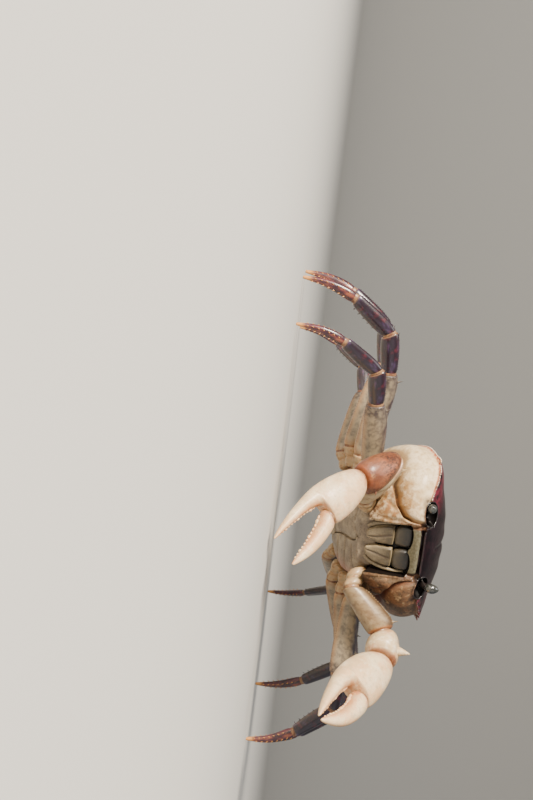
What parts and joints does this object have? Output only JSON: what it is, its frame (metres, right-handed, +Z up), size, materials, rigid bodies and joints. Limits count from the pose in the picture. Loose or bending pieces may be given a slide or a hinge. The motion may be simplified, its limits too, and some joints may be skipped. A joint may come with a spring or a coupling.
{
  "type": "freshwater mud crab model",
  "caption": "Still, life-size mud crab standing on its pointed walking legs, claws held forward, with a smooth domed shell, toothed margin and stalked eyes.",
  "frame": {"origin": "centre of the bounding box on the floor under the crab", "axes": "+Z up, -Y the way the face points, so the crab's own left is +X"},
  "size_m": [0.1548, 0.105, 0.0524],
  "materials": {
    "dark_shell": "near-black purple-brown shell, wet gloss",
    "pale_shell": "cream-grey breast plate and tail flap, satin",
    "olive_shell": "olive-brown mouth plates and feelers, satin",
    "eye": "black polished eye on a grey stalk",
    "joint_shell": "beige leg bases with brown mottling",
    "merus_shell": "grey-beige upper leg, dark upper edge",
    "leg_shell": "dark purple outer leg, wet gloss",
    "leg_tip": "maroon leg tip ending in orange horn",
    "claw_shell": "cream claw with orange inner edges, glossy"
  },
  "bodies": {
    "root": {"abdomen": "pale_shell", "antenna_left": "olive_shell", "antenna_right": "olive_shell", "carapace": "dark_shell", "claw_left_base": "joint_shell", "claw_left_carpus": "claw_shell", "claw_left_finger": "claw_shell", "claw_left_merus": "merus_shell", "claw_left_palm": "claw_shell", "claw_right_base": "joint_shell", "claw_right_carpus": "claw_shell", "claw_right_finger": "claw_shell", "claw_right_merus": "merus_shell", "claw_right_palm": "claw_shell", "eye_left": "eye", "eye_right": "eye", "leg_2_left_base": "joint_shell", "leg_2_left_carpus": "leg_shell", "leg_2_left_dactylus": "leg_tip", "leg_2_left_merus": "merus_shell", "leg_2_left_propodus": "leg_shell", "leg_2_right_base": "joint_shell", "leg_2_right_carpus": "leg_shell", "leg_2_right_dactylus": "leg_tip", "leg_2_right_merus": "merus_shell", "leg_2_right_propodus": "leg_shell", "leg_3_left_base": "joint_shell", "leg_3_left_carpus": "leg_shell", "leg_3_left_dactylus": "leg_tip", "leg_3_left_merus": "merus_shell", "leg_3_left_propodus": "leg_shell", "leg_3_right_base": "joint_shell", "leg_3_right_carpus": "leg_shell", "leg_3_right_dactylus": "leg_tip", "leg_3_right_merus": "merus_shell", "leg_3_right_propodus": "leg_shell", "leg_4_left_base": "joint_shell", "leg_4_left_carpus": "leg_shell", "leg_4_left_dactylus": "leg_tip", "leg_4_left_merus": "merus_shell", "leg_4_left_propodus": "leg_shell", "leg_4_right_base": "joint_shell", "leg_4_right_carpus": "leg_shell", "leg_4_right_dactylus": "leg_tip", "leg_4_right_merus": "merus_shell", "leg_4_right_propodus": "leg_shell", "leg_5_left_base": "joint_shell", "leg_5_left_carpus": "leg_shell", "leg_5_left_dactylus": "leg_tip", "leg_5_left_merus": "merus_shell", "leg_5_left_propodus": "leg_shell", "leg_5_right_base": "joint_shell", "leg_5_right_carpus": "leg_shell", "leg_5_right_dactylus": "leg_tip", "leg_5_right_merus": "merus_shell", "leg_5_right_propodus": "leg_shell", "maxilliped_left": "olive_shell", "maxilliped_right": "olive_shell", "sternum": "pale_shell"}
  },
  "joints": []
}
